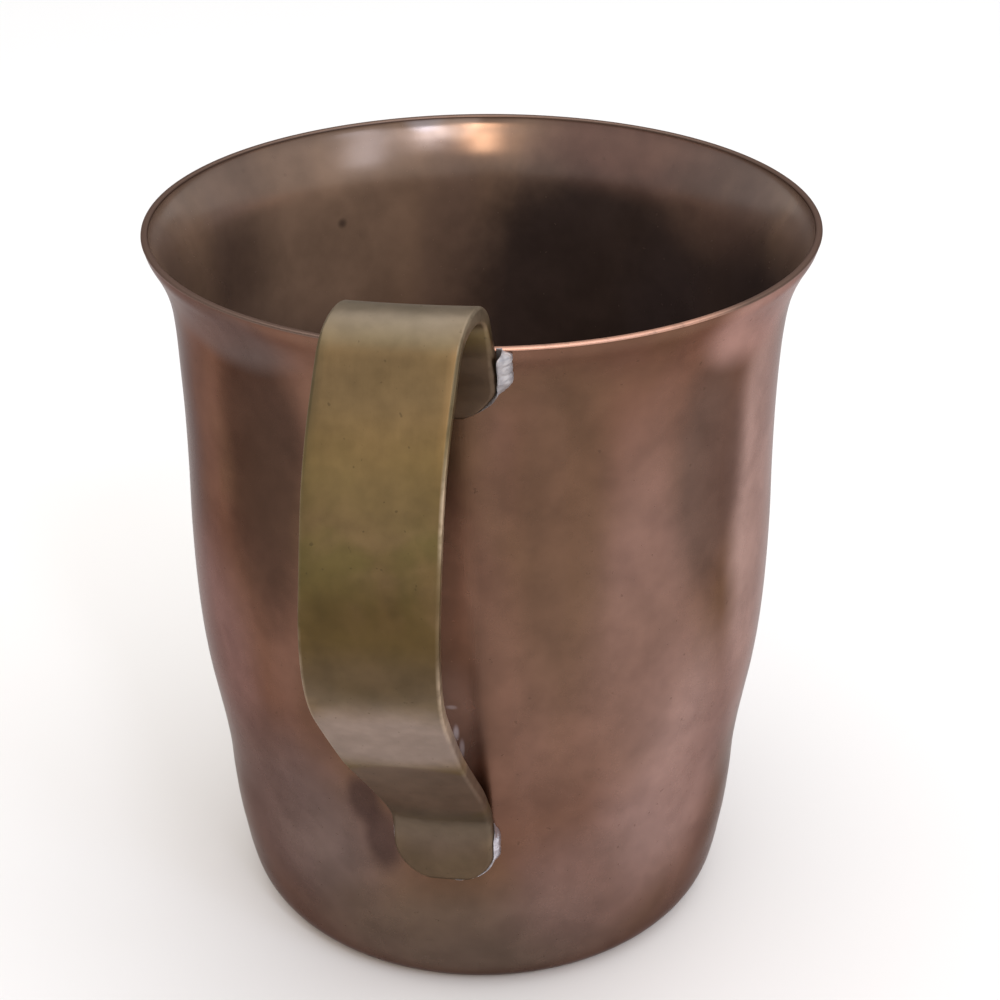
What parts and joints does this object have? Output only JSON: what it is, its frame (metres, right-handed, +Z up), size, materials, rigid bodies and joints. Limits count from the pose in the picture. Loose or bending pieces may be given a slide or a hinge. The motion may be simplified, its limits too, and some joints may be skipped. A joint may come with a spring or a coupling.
{
  "type": "copper pitcher",
  "caption": "Handmade copper pitcher with an open flared rim, a rounded foot and a brass strap handle that hooks over at the rim and is soldered on by its tabs.",
  "frame": {"origin": "centre of the flat base, on the surface that the pitcher stands on", "axes": "+Z up the body's axis to the rim, +X out along the handle's tabs, +Y to the left of the handle seen from the body"},
  "size_m": [0.1267, 0.1, 0.1234],
  "materials": {
    "patinated_copper": "brown patinated copper, softly polished",
    "aged_brass": "aged olive brass, satin",
    "solder": "dull soft solder"
  },
  "bodies": {
    "root": {"copper_body": "patinated_copper", "brass_handle": "aged_brass", "upper_solder": "solder", "lower_solder": "solder"}
  },
  "joints": []
}
